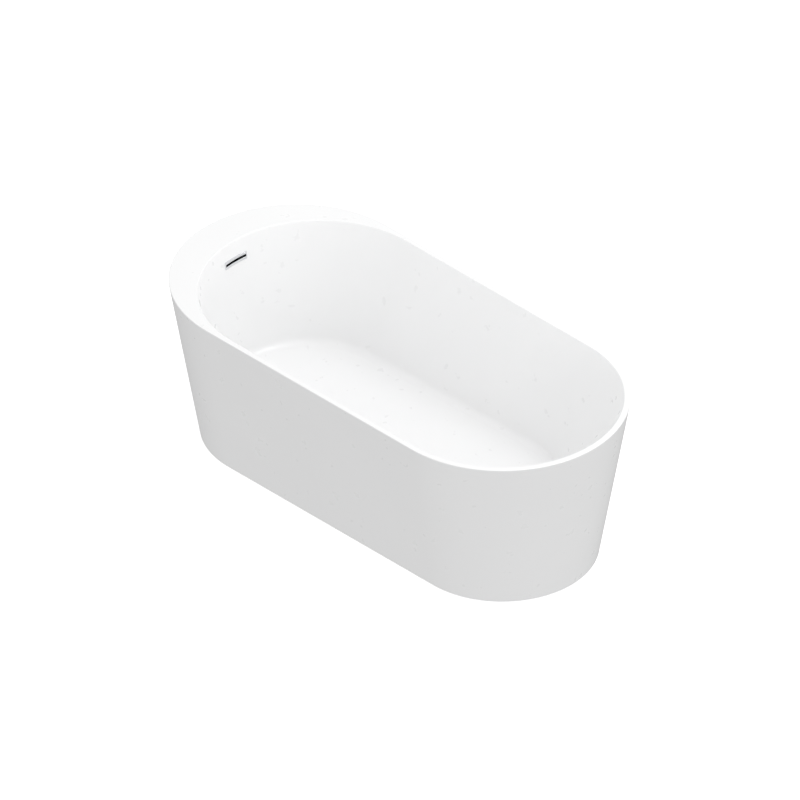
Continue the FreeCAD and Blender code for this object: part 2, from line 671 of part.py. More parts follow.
# ================================================================== stopper
cap_top = D["cap_level"] + D["cap_thick"]
cap = new_body("stopper_cap")
revolve(cap, "cap_shape", [
    (0, D["cap_level"] - 3), (D["stem_radius"], D["cap_level"] - 3), (D["stem_radius"], D["cap_level"] - 7.5),
    (7.5, D["cap_level"] - 7.5), (7.5, D["cap_level"]), (D["cap_radius"] - 0.6, D["cap_level"]),
    (D["cap_radius"], D["cap_level"] + 0.5), (D["cap_radius"] - 0.1, cap_top - 0.4), (D["cap_radius"] - 0.8, cap_top),
    (20, cap_top + D["cap_crown"] * 0.6), (9, cap_top + D["cap_crown"] * 0.95), (0, cap_top + D["cap_crown"])])
place(cap, wx, 0, 0)

cap_seal = new_body("stopper_seal")
revolve(cap_seal, "cap_seal_ring", [
    (7.5, D["cap_level"] - 1.3), (25.0, D["cap_level"] - 1.3), (26.0, D["cap_level"] - 0.9), (26.0, D["cap_level"]),
    (7.5, D["cap_level"])])
place(cap_seal, wx, 0, 0)

stem = new_body("stopper_stem")
revolve(stem, "stem_shape", rectangle(0, D["stem_radius"], D["cap_level"] - 22, D["cap_level"] - 3))
place(stem, wx, 0, 0)

cartridge_low = hub_level + 6
cartridge = new_body("push_cartridge")
revolve(cartridge, "cartridge_shape", [
    (0, cartridge_low - 8), (3.0, cartridge_low - 8), (3.0, cartridge_low), (D["cartridge_radius"], cartridge_low),
    (D["cartridge_radius"], D["cap_level"] - 9), (D["cartridge_radius"] - 1, D["cap_level"] - 8),
    (D["guide_radius"], D["cap_level"] - 8), (D["guide_radius"], cartridge_low + 4), (0, cartridge_low + 4)])
place(cartridge, wx, 0, 0)

# ================================================================= overflow
# Lofts of the well and of its back, used as trimming tools so that the
# overflow pieces lie along the curved wall.


def loose_stadium(name, level, args, tilt=None):
    sketch = doc.addObject("Sketcher::SketchObject", name)
    turn = Rotation(Vector(0, -1, 0), tilt.value) if tilt is not None else Rotation()
    sketch.Placement = Placement(Vector(0, 0, level.value), turn)
    bind(sketch, "Placement.Base.z", level)
    if tilt is not None:
        sketch.setExpression("Placement.Rotation.Angle", tilt.text)
    draw_stadium(sketch, *args)
    return sketch


inner_top = loose_stadium("tool_well_top", D["rim_height"],
                          (-D["open_deck"], D["open_radius"], D["open_back"], D["open_radius"]))
inner_floor = loose_stadium("tool_well_floor", D["floor_level"],
                            (-D["floor_deck"], D["floor_deck_radius"], D["floor_back"], D["floor_back_radius"]),
                            D["floor_tilt"])
outer_top = loose_stadium("tool_back_top", seam,
                          (-D["open_deck"], D["open_radius"] + D["shell_wall"],
                           D["open_back"], D["open_radius"] + D["shell_wall"]))
outer_floor = loose_stadium("tool_back_floor", back_floor,
                            (-D["floor_deck"], D["floor_deck_radius"] + D["shell_wall"],
                             D["floor_back"], D["floor_back_radius"] + D["shell_wall"]), D["floor_tilt"])


def tool_loft(name, sections, shift):
    item = doc.addObject("Part::Loft", name)
    item.Sections = sections
    item.Solid = True
    item.Ruled = True
    place(item, shift, 0, 0)
    return item


def hollow(shift, outer=False, name="well_tool"):
    return tool_loft(name, [outer_floor, outer_top] if outer else [inner_floor, inner_top], shift)


zc = D["slot_level"]
wall_x = -D["open_deck"] - D["open_radius"]          # rim end of the deck-side wall
half_cut_w = D["cutout_width"] / 2 - 0.2
half_cut_h = D["cutout_height"] / 2 - 0.2

plate = common("trim_plate", box("trim_block", wall_x - 10, wall_x + 40, -D["trim_width"] / 2, D["trim_width"] / 2,
                                 zc - D["trim_height"] / 2, zc + D["trim_height"] / 2),
               hollow(0, name="trim_wall_tool"))
collar = box("trim_collar", wall_x - 12, wall_x + 20, -half_cut_w, half_cut_w, zc - half_cut_h, zc + half_cut_h)
solid_trim = cut("trim_solid", fuse("trim_union", [plate, collar]), hollow(D["trim_stand"], name="trim_face_tool"))
slotted = cut("trim_slotted", solid_trim,
              box("trim_slot", wall_x - 20, wall_x + 40, -D["slot_width"] / 2, D["slot_width"] / 2,
                  zc - D["slot_height"] / 2, zc + D["slot_height"] / 2))
bridges = fuse("trim_bridges", [
    cut("trim_bridge", box("bridge_block", wall_x - 12, wall_x - 8, low, low + 12, zc - half_cut_h, zc + half_cut_h),
        cylinder("bridge_hole", 1.6, wall_x - 20, low + 6, zc, 20.0, "x"))
    for low in (-half_cut_w, half_cut_w - 12)])
finish(fuse("overflow_trim", [slotted, bridges]), "overflow_trim")

gasket = cut("overflow_gasket",
             cut("overflow_gasket_layer",
                 common("overflow_gasket_block",
                        box("overflow_gasket_box", wall_x - 30, wall_x + 40, -54, 54, zc - 17.5, zc + 17.5),
                        hollow(-2.5, True, "gasket_back_tool")),
                 hollow(0, True, "gasket_front_tool")),
             box("overflow_gasket_window", wall_x - 40, wall_x + 50, -D["cutout_width"] / 2, D["cutout_width"] / 2,
                 zc - D["cutout_height"] / 2, zc + D["cutout_height"] / 2))
finish(gasket, "overflow_gasket")

chamber = cut("overflow_chamber",
              box("chamber_block", -D["box_back"], wall_x + 20, -D["box_width"] / 2, D["box_width"] / 2,
                  zc - D["box_height"] / 2, zc + D["box_height"] / 2),
              hollow(-2.5, True, "chamber_front_tool"))
chamber = cut("overflow_chamber_hollow", chamber,
              box("chamber_space", -D["box_back"] + 4, wall_x + 30, -D["cutout_width"] / 2, D["cutout_width"] / 2,
                  zc - D["cutout_height"] / 2, zc + D["cutout_height"] / 2))
posts = fuse("chamber_posts", [
    box("chamber_post", -D["box_back"] + 3, wall_x - 12.2, low, low + 13,
        zc - D["cutout_height"] / 2 - 1, zc + D["cutout_height"] / 2 + 1)
    for low in (-D["cutout_width"] / 2 - 1, D["cutout_width"] / 2 - 12)])
spigot = cylinder("chamber_spigot", D["spigot_radius"], -D["hose_place"], 0,
                  zc - D["box_height"] / 2 - 28, 30.0)
chamber = fuse("overflow_chamber_whole", [chamber, posts, spigot])
drilled = cut("overflow_chamber_drilled", chamber,
              cylinder("chamber_spigot_bore", D["spigot_bore"], -D["hose_place"], 0,
                       zc - D["box_height"] / 2 - 29, 40.0))
holes = fuse("chamber_screw_holes", [
    cylinder("chamber_screw_hole", 1.6, wall_x - 32, (half_cut_w - 6) * side, zc, 25.0, "x") for side in (-1, 1)])
finish(cut("overflow_box", drilled, holes), "overflow_box")

trim_screws = []
for side in (-1, 1):
    y = (half_cut_w - 6) * side
    trim_screws.append(cylinder("trim_screw_shank", 1.6, wall_x - 28, y, zc, 20.0, "x"))
    trim_screws.append(cylinder("trim_screw_head", 3.0, wall_x - 8, y, zc, 2.2, "x"))
finish(fuse("overflow_screws", trim_screws), "overflow_screws")

# Overflow hose: level out of the waste body, up behind the end wall, into the overflow box.
hose = new_body("overflow_hose")
path = new_sketch(hose, "hose_route", "XZ_Plane")
start = (-D["waste_place"] - D["trap_radius"] - 13, D["hose_level"])
end = (-D["hose_place"], zc - D["box_height"] / 2 - 6)
p0 = Vector(start[0].value, start[1].value, 0)
p1 = Vector(-715, p0.y, 0)
p2 = Vector(end[0].value, 400, 0)
p3 = Vector(end[0].value, end[1].value, 0)


def bend(a, b, c, radius):
    """Tangent points and centre of an arc that rounds the corner b."""
    u, v = (a - b).normalize(), (c - b).normalize()
    half = u.getAngle(v) / 2
    reach = radius / math.tan(half)
    bis = (u + v).normalize()
    return b + u * reach, b + bis * (radius / math.sin(half)), b + v * reach


def arc_between(centre, first, last):
    """Anticlockwise arc about centre from first to last."""
    start_angle = math.atan2(first.y - centre.y, first.x - centre.x)
    end_angle = math.atan2(last.y - centre.y, last.x - centre.x)
    if end_angle < start_angle:
        end_angle += 2 * math.pi
    return Part.ArcOfCircle(Part.Circle(centre, Vector(0, 0, 1), (first - centre).Length), start_angle, end_angle)


a1, c1, b1 = bend(p0, p1, p2, D["hose_bend"].value)
a2, c2, b2 = bend(p1, p2, p3, D["hose_kick"].value)
path.addGeometry([
    Part.LineSegment(p0, a1), arc_between(c1, b1, a1), Part.LineSegment(b1, a2), arc_between(c2, b2, a2),
    Part.LineSegment(b2, p3)], False)
path.addConstraint([
    Sketcher.Constraint("Tangent", 0, 2, 1, 2),
    Sketcher.Constraint("Tangent", 1, 1, 2, 1),
    Sketcher.Constraint("Tangent", 2, 2, 3, 2),
    Sketcher.Constraint("Tangent", 3, 1, 4, 1),
    Sketcher.Constraint("Horizontal", 0),
    Sketcher.Constraint("Vertical", 4)])
dimension(path, "DistanceX", [-1, 1, 0, 1], start[0], "start_x")
dimension(path, "DistanceY", [-1, 1, 0, 1], start[1], "start_z")
dimension(path, "DistanceX", [-1, 1, 4, 2], end[0], "end_x")
dimension(path, "DistanceY", [-1, 1, 4, 2], end[1], "end_z")
dimension(path, "Radius", [1], D["hose_bend"], "bend")
dimension(path, "Radius", [3], D["hose_kick"], "kick")
dimension(path, "DistanceX", [-1, 1, 0, 2], a1.x, "level_run")
dimension(path, "DistanceY", [-1, 1, 4, 1], b2.y, "upright_run")
ring = new_sketch(hose, "hose_section", "YZ_Plane", level=start[0])
draw_circle(ring, 0, D["hose_level"], D["hose_radius"])
lumen = new_sketch(hose, "hose_lumen", "YZ_Plane", level=start[0])
draw_circle(lumen, 0, D["hose_level"], D["spigot_radius"])
doc.recompute()
for kind, name, profile in (("AdditivePipe", "hose_tube", ring), ("SubtractivePipe", "hose_inside", lumen)):
    sweep = hose.newObject("PartDesign::" + kind, name)
    sweep.Profile = profile
    sweep.Spine = (path, ["Edge%d" % (i + 1) for i in range(len(path.Shape.Edges))])
doc.recompute()

clips = [
    cut("clip_low", cylinder("clip_low_ring", D["hose_radius"] + 1.6, start[0] - 17, 0, D["hose_level"], 9.0, "x"),
        cylinder("clip_low_bore", D["hose_radius"], start[0] - 18, 0, D["hose_level"], 11.0, "x")),
    cut("clip_high", cylinder("clip_high_ring", D["hose_radius"] + 1.6, end[0], 0, end[1] - 17, 9.0),
        cylinder("clip_high_bore", D["hose_radius"], end[0], 0, end[1] - 18, 11.0)),
]
finish(fuse("hose_clips", clips), "hose_clips")

# ================================================================ write out
doc.recompute()
failed = []
for item in doc.Objects:
    if "Invalid" in item.State or "Error" in item.State:
        failed.append("%s (%s): %s" % (item.Name, item.Label, item.State))
for part in PARTS:
    if part.Shape.isNull() or not part.Shape.isValid() or part.Shape.Volume <= 0:
        failed.append("%s: shape" % part.Label)
if failed:
    raise RuntimeError("failed: " + "; ".join(failed))

os.makedirs("parts", exist_ok=True)
for old in os.listdir("parts"):
    if old.endswith(".step"):
        os.remove(os.path.join("parts", old))
total = 0.0
for part in PARTS:
    shape = part.Shape
    b = shape.BoundBox
    print("%-24s solids %2d faces %3d volume %10.0f  x %8.1f %8.1f  y %7.1f %7.1f  z %6.1f %6.1f" % (
        part.Label, len(shape.Solids), len(shape.Faces), shape.Volume, b.XMin, b.XMax, b.YMin, b.YMax, b.ZMin, b.ZMax))
    shape.exportStep(os.path.join("parts", part.Label + ".step"))
print("parts:", len(PARTS))
print("hose bends:", D["hose_bend"].value, D["hose_kick"].value, "length", round(path.Shape.Length, 1),
      "volume ratio", round(hose.Shape.Volume / (math.pi * (D["hose_radius"].value ** 2 - D["spigot_radius"].value ** 2) * path.Shape.Length), 4))
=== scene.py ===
import json
import math

import bpy
import numpy as np
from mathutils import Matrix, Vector


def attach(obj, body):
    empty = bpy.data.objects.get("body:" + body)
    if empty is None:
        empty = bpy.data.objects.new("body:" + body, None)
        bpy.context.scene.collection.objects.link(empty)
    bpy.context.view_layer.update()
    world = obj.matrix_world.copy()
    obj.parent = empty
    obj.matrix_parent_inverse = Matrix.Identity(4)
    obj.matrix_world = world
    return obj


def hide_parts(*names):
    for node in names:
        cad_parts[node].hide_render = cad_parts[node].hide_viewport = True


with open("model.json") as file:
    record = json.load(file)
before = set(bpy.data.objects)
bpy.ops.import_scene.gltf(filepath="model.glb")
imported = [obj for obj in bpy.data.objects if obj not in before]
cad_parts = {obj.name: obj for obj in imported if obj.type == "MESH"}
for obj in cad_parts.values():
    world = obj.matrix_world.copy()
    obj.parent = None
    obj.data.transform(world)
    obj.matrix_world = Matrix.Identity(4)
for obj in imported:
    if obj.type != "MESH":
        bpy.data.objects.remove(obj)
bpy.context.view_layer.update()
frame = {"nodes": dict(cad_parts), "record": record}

nodes = frame["nodes"]

# ------------------------------------------------------------------ sizes of the bath, in millimetres
RIM_Z, SEAM_Z, FOOT_Z = 570.0, 564.0, 3.0
RIM_C, RIM_R = 450.0, 400.56
LEAN = 97.5 / 567.0
OPEN_L, OPEN_R, OPEN_RAD = 349.5, 448.8, 382.0
FL_C, FL_R, FB_C, FB_R = 400.0, 280.0, 277.0, 294.0
FLOOR_Z, TILT = 153.4, math.tan(math.radians(0.458))
WALL = 6.0
WASTE_X = -520.0
SLOT_Z = 502.0

# ------------------------------------------------------------------ outlines
NQ, NL = 44, 72
EVEN = np.arange(NQ) / NQ
# columns beside the overflow sit at its sides
SIDE_DEG = 7.16
NEAR = np.concatenate([np.linspace(0, SIDE_DEG, 5)[:-1], np.linspace(SIDE_DEG, 90, NQ - 3)])[:NQ] / 90.0
FAR = (1.0 - np.concatenate([NEAR, [1.0]]))[::-1][:NQ]


def outline(left, left_r, right, right_r):
    """Points and outward normals round a long oval: two arcs of different radius and their tangent lines."""
    a = math.asin((right_r - left_r) / (right + left))
    h = math.pi / 2
    pts, nrm = [], []

    def arc(cx, r, a0, a1, shares):
        for f in shares:
            t = a0 + (a1 - a0) * f
            pts.append((cx + r * math.cos(t), r * math.sin(t)))
            nrm.append((math.cos(t), math.sin(t)))

    def line(cx0, r0, cx1, r1, t):
        n = (math.cos(t), math.sin(t))
        for f in np.arange(NL) / NL:
            x0, y0 = cx0 + r0 * n[0], r0 * n[1]
            x1, y1 = cx1 + r1 * n[0], r1 * n[1]
            pts.append((x0 + (x1 - x0) * f, y0 + (y1 - y0) * f))
            nrm.append(n)

    arc(right, right_r, -h - a, 0, EVEN)
    arc(right, right_r, 0, h + a, EVEN)
    line(right, right_r, -left, left_r, h + a)
    arc(-left, left_r, h + a, math.pi, FAR)
    arc(-left, left_r, math.pi, 3 * h - a, NEAR)
    line(-left, left_r, right, right_r, -h - a)
    return np.array(pts), np.array(nrm)


N = 4 * NQ + 2 * NL
MID = 2 * NQ + NL + NQ          # column on the middle line at the deck end


def lift(xy, z):
    z = np.broadcast_to(np.asarray(z, float), (len(xy),))
    return np.column_stack([xy, z])


def unit(v):
    return v / np.linalg.norm(v, axis=-1, keepdims=True)


def dot(a, b):
    return np.sum(a * b, axis=-1, keepdims=True)


def edge_round(corner, one, two, along, radius, steps):
    """Arc rings that round the edge at corner between directions one and two, both leading away from it."""
    flat_one = unit(one - dot(one, along) * along)
    flat_two = unit(two - dot(two, along) * along)
    theta = np.arccos(np.clip(dot(flat_one, flat_two), -1, 1))
    reach = radius / np.tan(theta / 2)
    a = corner + one * reach / dot(one, flat_one)
    b = corner + two * reach / dot(two, flat_two)
    w = np.sin(theta / 2)
    rings = []
    for v in np.linspace(0, 1, steps + 1):
        k = (1 - v) ** 2 + 2 * w * v * (1 - v) + v * v
        rings.append(((1 - v) ** 2 * a + 2 * w * v * (1 - v) * corner + v * v * b) / k)
    return rings


def between(a, b, shares):
    return [a + (b - a) * s for s in shares]


def make_mesh(name, verts, faces, smooth=True, sharp=32):
    mesh = bpy.data.meshes.new(name)
    mesh.from_pydata([tuple(v) for v in np.asarray(verts, float) * 0.001], [], faces)
    mesh.validate(verbose=False)
    mesh.update()
    if smooth:
        mesh.shade_smooth()
        mesh.set_sharp_from_angle(angle=math.radians(sharp))
    obj = bpy.data.objects.new(name, mesh)
    bpy.context.scene.collection.objects.link(obj)
    return obj


def ring_faces(rows, count, closed_rows, skip=()):
    faces = []
    for i in range(rows if closed_rows else rows - 1):
        j = (i + 1) % rows
        for k in range(count):
            if (i, k) in skip:
                continue
            m = (k + 1) % count
            faces.append((i * count + k, i * count + m, j * count + m, j * count + k))
    return faces


# ------------------------------------------------------------------ the moulded well, rim and deck
up = np.array([0.0, 0.0, 1.0])
top_xy, top_n = outline(OPEN_L, OPEN_RAD, OPEN_R, OPEN_RAD)
floor_xy, floor_n = outline(FL_C, FL_R, FB_C, FB_R)
rim_xy, rim_n = outline(RIM_C, RIM_R, RIM_C, RIM_R)


def flat(n2):
    return np.column_stack([n2, np.zeros(len(n2))])


def tangent(n2):
    return np.column_stack([-n2[:, 1], n2[:, 0], np.zeros(len(n2))])


def floor_tangent(n2):
    t = tangent(n2)
    t[:, 2] = t[:, 0] * TILT
    return unit(t)


floor_normal = unit(np.array([[-TILT, 0.0, 1.0]]))
P_top = lift(top_xy, RIM_Z)
P_floor = lift(floor_xy, FLOOR_Z + floor_xy[:, 0] * TILT)
e_top, e_floor = tangent(top_n), floor_tangent(floor_n)
down = unit(P_floor - P_top)
into_floor = unit(np.cross(np.broadcast_to(floor_normal, e_floor.shape), e_floor))


def well_at(z, top=None, foot=None):
    """Ring on the well wall at one level, or at a level for each column."""
    top = P_top if top is None else top
    foot = P_floor if foot is None else foot
    t = ((top[:, 2] - z) / (top[:, 2] - foot[:, 2]))[:, None]
    return top + (foot - top) * t


rings = []
# outside of the rim, leaning like the skirt, then its round and the flat top
rim_low, _ = outline(RIM_C, RIM_R - (RIM_Z - SEAM_Z) * LEAN, RIM_C, RIM_R - (RIM_Z - SEAM_Z) * LEAN)
rim_corner = lift(rim_xy, RIM_Z)
side_dir = unit(-flat(rim_n) * LEAN - up)
outer = edge_round(rim_corner, side_dir, -flat(rim_n), tangent(rim_n), 3.0, 8)
lip = edge_round(P_top, flat(top_n), down, e_top, 3.0, 8)
rings.append(lift(rim_low, SEAM_Z))
rings += between(rings[0], outer[0], [0.5, 0.85])
rings += outer
rings += between(outer[-1], lip[0], [0.02, 0.08, 0.25, 0.5, 0.75, 0.92, 0.98])
rings += lip
LEVELS = [564.5, 560.0, 550.0, 538.0, 526.0, 517.0, 512.5, 510.5, 507.0, 502.0, 497.0, 493.5, 491.5, 486.0,
          474.0, 455.0, 430.0, 405.0, 380.0, 355.0, 330.0, 305.0, 280.0, 255.0, 230.0, 212.0]
row_of = {}
for level in LEVELS:
    row_of[level] = len(rings)
    rings.append(well_at(level))
fillet = edge_round(P_floor, -down, into_floor, e_floor, 30.0, 20)
rings += between(rings[-1], fillet[0], [0.5, 0.9])
rings += fillet
# floor, gathering to the waste seat
angles = np.arctan2(floor_xy[:, 1], floor_xy[:, 0] - WASTE_X)


def waste_ring(r, z=None):
    xy = np.column_stack([WASTE_X + r * np.cos(angles), r * np.sin(angles)])
    return lift(xy, FLOOR_Z + xy[:, 0] * TILT if z is None else z)


seat_edge = waste_ring(37.5)
rings += between(fillet[-1], waste_ring(41.0), [0.02, 0.1, 0.3, 0.55, 0.8, 0.95, 1.0])
seat_low = waste_ring(37.5, 146.2)
rings += [waste_ring(38.4), between(seat_edge, seat_low, [0.22])[0], seat_low, waste_ring(36.5, 146.2), waste_ring(26.0, 146.2),
          waste_ring(26.0, 140.0), waste_ring(46.0, 140.0)]
# underside of the moulding
B_top = lift(outline(OPEN_L, OPEN_RAD + WALL, OPEN_R, OPEN_RAD + WALL)[0], SEAM_Z)
back_xy, back_n = outline(FL_C, FL_R + WALL, FB_C, FB_R + WALL)
B_floor = lift(back_xy, FLOOR_Z - WALL + back_xy[:, 0] * TILT)
back_down = unit(B_floor - B_top)
e_back = floor_tangent(back_n)
back_in = unit(np.cross(np.broadcast_to(floor_normal, e_back.shape), e_back))
under = edge_round(B_floor, back_in, -back_down, e_back, 36.0, 12)
boss_top = waste_ring(46.0)
boss_top[:, 2] -= WALL
rings.append(boss_top)
rings += between(boss_top, under[0], [0.3, 0.7, 0.98])
rings += under
back_row = {}
for level in LEVELS[::-1]:
    if level > 563:
        continue
    back_row[level] = len(rings)
    rings.append(well_at(level, B_top, B_floor))
rings.append(B_top)
rings.append(between(B_top, rings[0], [0.5])[0])

skip = set()
low_i, high_i = row_of[493.5], row_of[510.5]
blow, bhigh = back_row[493.5], back_row[510.5]
columns = range(MID - 4, MID + 4)
for k in columns:
    for i in range(high_i, low_i):
        skip.add((i, k))
    for i in range(blow, bhigh):
        skip.add((i, k))
faces = ring_faces(len(rings), N, True, skip)
# sides of the overflow cut-out
levels_in = [row_of[z] for z in (510.5, 507.0, 502.0, 497.0, 493.5)]
levels_out = [back_row[z] for z in (510.5, 507.0, 502.0, 497.0, 493.5)]
for k in columns:
    faces.append((high_i * N + k, high_i * N + k + 1, bhigh * N + k + 1, bhigh * N + k))
    faces.append((low_i * N + k + 1, low_i * N + k, blow * N + k, blow * N + k + 1))
for a in range(4):
    for k, flip in ((MID - 4, True), (MID + 4, False)):
        quad = (levels_in[a] * N + k, levels_in[a + 1] * N + k, levels_out[a + 1] * N + k, levels_out[a] * N + k)
        faces.append(quad if flip else quad[::-1])
used = sorted({i for f in faces for i in f})
order = {old: new for new, old in enumerate(used)}
all_points = np.concatenate(rings)[used]
faces = [tuple(order[i] for i in f) for f in faces]


def tidy(obj):
    """Makes the faces of a closed mesh point outwards."""
    import bmesh
    bm = bmesh.new()
    bm.from_mesh(obj.data)
    bmesh.ops.recalc_face_normals(bm, faces=bm.faces)
    bm.to_mesh(obj.data)
    bm.free()
    obj.data.update()


basin = make_mesh("basin_shell", all_points, faces, sharp=30)
tidy(basin)

# ------------------------------------------------------------------ the skirt
skirt_rings = []


def skirt_ring(z, inset=0.0):
    r = RIM_R - (RIM_Z - z) * LEAN - inset
    return lift(outline(RIM_C, r, RIM_C, r)[0], z)


skirt_rings.append(skirt_ring(FOOT_Z, 1.0))
skirt_rings.append(skirt_ring(FOOT_Z + 0.3, 0.3))
for z in (FOOT_Z + 1.0, FOOT_Z + 4, 12, 40, 80, 120, 160, 200, 240, 280, 320, 360, 400, 440, 480, 520, 550, 560, SEAM_Z):
    skirt_rings.append(skirt_ring(z))
for z in (SEAM_Z, 500, 400, 300, 200, 100, FOOT_Z + 0.6):
    skirt_rings.append(skirt_ring(z, 5.0))
skirt_rings.append(skirt_ring(FOOT_Z, 4.4))
skirt = make_mesh("skirt_shell", np.concatenate(skirt_rings), ring_faces(len(skirt_rings), N, True), sharp=40)
tidy(skirt)

# ------------------------------------------------------------------ overflow trim
def wall_smooth(y, z):
    """Wall position from its circle at that level."""
    zf = FLOOR_Z - (FL_C + FL_R) * TILT
    t = (RIM_Z - z) / (RIM_Z - zf)
    c = -(OPEN_L * (1 - t) + FL_C * t)
    r = OPEN_RAD * (1 - t) + FL_R * t
    return c - math.sqrt(r * r - y * y)


def rounded(width, height, radius, depth, per=8, straight=20):
    """A rounded rectangle laid on the deck-end wall, standing off it by depth."""
    pts = []
    hw, hh = width / 2 - radius, height / 2 - radius
    corners = [(hw, hh, 0), (-hw, hh, 90), (-hw, -hh, 180), (hw, -hh, 270)]
    for n, (cy, cz, a0) in enumerate(corners):
        for i in range(per + 1):
            a = math.radians(a0 + 90 * i / per)
            pts.append((cy + radius * math.cos(a), cz + radius * math.sin(a)))
        ny, nz, b0 = corners[(n + 1) % 4]
        a = math.radians(a0 + 90)
        y0, z0 = cy + radius * math.cos(a), cz + radius * math.sin(a)
        y1, z1 = ny + radius * math.cos(a), nz + radius * math.sin(a)
        for i in range(1, straight):
            pts.append((y0 + (y1 - y0) * i / straight, z0 + (z1 - z0) * i / straight))
    return [(wall_smooth(y, SLOT_Z + z) + depth, y, SLOT_Z + z) for y, z in pts]


def deep(points, x):
    return [(x, y, z) for _, y, z in points]


edge = 0.7
plate = [
    rounded(95.0, 25.0, 1.6, 0.02),
    rounded(95.0, 25.0, 1.6, 3.0 - edge),
    rounded(95.0 - 0.28 * edge * 2, 25.0 - 0.28 * edge * 2, 1.5, 3.0 - 0.28 * edge),
    rounded(95.0 - edge * 2, 25.0 - edge * 2, 1.2, 3.0),
    rounded(95.0 - edge * 2 - 1.0, 25.0 - edge * 2 - 1.0, 1.0, 3.0),
    rounded(88.0 + 1.6, 8.6 + 1.6, 1.2, 3.0),
    rounded(88.0 + 0.8, 8.6 + 0.8, 1.0, 3.0),
    rounded(88.0 + 0.24, 8.6 + 0.24, 0.8, 2.75),
    rounded(88.0, 8.6, 0.7, 2.2),
    deep(rounded(88.0, 8.6, 0.7, 0.0), -743.3),
    deep(rounded(90.6, 16.6, 0.7, 0.0), -743.3),
    rounded(90.6, 16.6, 0.7, 0.02),
]
per_ring = len(plate[0])
plate_faces = ring_faces(len(plate), per_ring, True)
plate_points = [p for r in plate for p in r]
# bars behind the slot that take the screws
for side in (-1, 1):
    y0, y1 = sorted((side * 45.3, side * 33.3))
    base = len(plate_points)
    for x in (-743.5, -739.5):
        for z in (SLOT_Z - 8.3, SLOT_Z + 8.3):
            for y in (y0, y1):
                plate_points.append((x, y, z))
    for f in ((0, 1, 3, 2), (4, 6, 7, 5), (0, 4, 5, 1), (2, 3, 7, 6), (0, 2, 6, 4), (1, 5, 7, 3)):
        plate_faces.append(tuple(base + i for i in f))
trim = make_mesh("overflow_plate", plate_points, plate_faces, sharp=50)
tidy(trim)


# ------------------------------------------------------------------ materials
def material(name, color, rough, metal=0.0, **more):
    m = bpy.data.materials.new(name)
    m.use_nodes = True
    nt = m.node_tree
    nt.nodes.clear()
    out = nt.nodes.new("ShaderNodeOutputMaterial")
    bsdf = nt.nodes.new("ShaderNodeBsdfPrincipled")
    nt.links.new(bsdf.outputs[0], out.inputs[0])
    bsdf.inputs["Base Color"].default_value = (*color, 1)
    bsdf.inputs["Roughness"].default_value = rough
    bsdf.inputs["Metallic"].default_value = metal
    for key, value in more.items():
        bsdf.inputs[key.replace("_", " ")].default_value = value
    return m, nt, bsdf


def place_coords(nt, scale=(1, 1, 1)):
    coords = nt.nodes.new("ShaderNodeTexCoord")
    mapping = nt.nodes.new("ShaderNodeMapping")
    mapping.inputs["Scale"].default_value = scale
    nt.links.new(coords.outputs["Object"], mapping.inputs["Vector"])
    return mapping.outputs[0]


def noise(nt, vec, scale, detail=3.0, rough=0.5):
    n = nt.nodes.new("ShaderNodeTexNoise")
    n.inputs["Scale"].default_value = scale
    n.inputs["Detail"].default_value = detail
    n.inputs["Roughness"].default_value = rough
    nt.links.new(vec, n.inputs["Vector"])
    return n.outputs["Fac"]


def spread(nt, value, low, high, from_low=0.3, from_high=0.7):
    r = nt.nodes.new("ShaderNodeMapRange")
    r.inputs["From Min"].default_value = from_low
    r.inputs["From Max"].default_value = from_high
    r.inputs["To Min"].default_value = low
    r.inputs["To Max"].default_value = high
    nt.links.new(value, r.inputs["Value"])
    return r.outputs[0]


def ramp(nt, value, stops):
    r = nt.nodes.new("ShaderNodeValToRGB")
    while len(r.color_ramp.elements) < len(stops):
        r.color_ramp.elements.new(0.5)
    for e, (pos, color) in zip(r.color_ramp.elements, stops):
        e.position = pos
        e.color = (*color, 1)
    nt.links.new(value, r.inputs[0])
    return r.outputs[0]


def bump(nt, bsdf, height, strength, distance):
    b = nt.nodes.new("ShaderNodeBump")
    b.inputs["Strength"].default_value = strength
    b.inputs["Distance"].default_value = distance
    nt.links.new(height, b.inputs["Height"])
    nt.links.new(b.outputs[0], bsdf.inputs["Normal"])


def acrylic():
    m, nt, bsdf = material("gloss_white_acrylic", (0.86, 0.862, 0.865), 0.3, 0.0)
    bsdf.inputs["IOR"].default_value = 1.49
    bsdf.inputs["Coat Weight"].default_value = 0.35
    bsdf.inputs["Coat Roughness"].default_value = 0.12
    vec = place_coords(nt)
    cloud = noise(nt, vec, 3.1, 2.0)
    nt.links.new(ramp(nt, cloud, [(0.3, (0.908, 0.91, 0.912)), (0.7, (0.92, 0.921, 0.922))]), bsdf.inputs["Base Color"])
    nt.links.new(spread(nt, noise(nt, vec, 26.0, 4.0), 0.27, 0.35), bsdf.inputs["Roughness"])
    return m


def metal(name, color, rough, scale, bumpiness=0.02, dark=0.86):
    m, nt, bsdf = material(name, color, rough, 1.0)
    vec = place_coords(nt)
    f = noise(nt, vec, scale, 4.0)
    dim = tuple(c * dark for c in color)
    nt.links.new(ramp(nt, f, [(0.32, dim), (0.68, color)]), bsdf.inputs["Base Color"])
    nt.links.new(spread(nt, noise(nt, vec, scale * 2.7, 5.0), rough * 0.75, rough * 1.35), bsdf.inputs["Roughness"])
    if bumpiness:
        bump(nt, bsdf, noise(nt, vec, scale * 6, 2.0), bumpiness, 0.0003)
    return m


